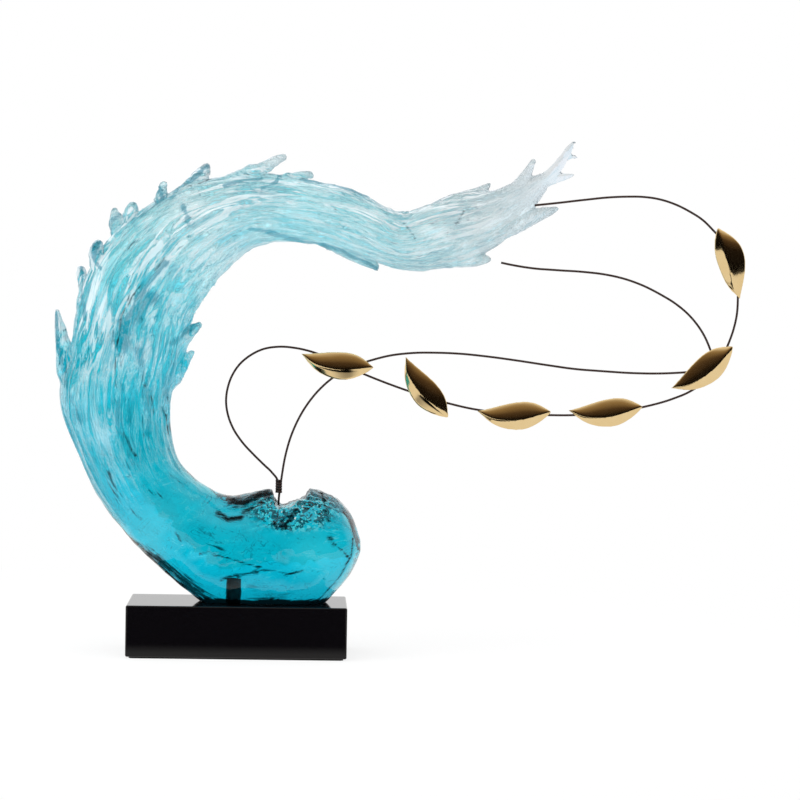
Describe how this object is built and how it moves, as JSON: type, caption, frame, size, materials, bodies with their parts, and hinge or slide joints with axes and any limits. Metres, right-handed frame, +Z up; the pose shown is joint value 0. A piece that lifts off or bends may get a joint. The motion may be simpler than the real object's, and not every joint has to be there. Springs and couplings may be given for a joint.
{
  "type": "glass wave sculpture",
  "caption": "Turquoise glass wave ornament on a polished black block, with a lift-out spray of gilt leaves on thin wires.",
  "frame": {"origin": "centre of the underside, where the pad meets the table", "axes": "+X along the block towards the wave's tail, -Y faces the viewer, +Z up"},
  "size_m": [0.6272, 0.1, 0.476],
  "materials": {
    "turquoise_glass": "gloss",
    "black_stone": "polished",
    "felt": "matte",
    "clear_bedding": "satin",
    "insert_metal": "satin",
    "adhesive": "matte",
    "fixing_steel": "satin",
    "dark_wire": "satin",
    "gilt_leaf": "polished",
    "solder": "satin"
  },
  "bodies": {
    "stand": {"wave_glass": "turquoise_glass", "plinth": "black_stone", "base_pad": "felt", "foot_gasket": "clear_bedding", "anchor_insert": "insert_metal", "anchor_adhesive": "adhesive", "fixing_bolt": "fixing_steel", "fixing_washer": "fixing_steel", "lock_washer": "fixing_steel", "stem_sleeve": "insert_metal"},
    "spray": {"stem_wire": "dark_wire", "long_tendril": "dark_wire", "upper_tendril": "dark_wire", "tie_ferrule": "dark_wire", "leaf_1": "gilt_leaf", "leaf_2": "gilt_leaf", "leaf_3": "gilt_leaf", "leaf_4": "gilt_leaf", "leaf_5": "gilt_leaf", "leaf_6": "gilt_leaf", "leaf_solder_1": "solder", "leaf_solder_2": "solder", "leaf_solder_3": "solder", "leaf_solder_4": "solder", "leaf_solder_5": "solder", "leaf_solder_6": "solder"}
  },
  "joints": [
    {"name": "spray_lift", "type": "slide", "parent": "stand", "child": "spray", "axis": [0, 0, 1], "range_m": [0, 0.028]}
  ]
}
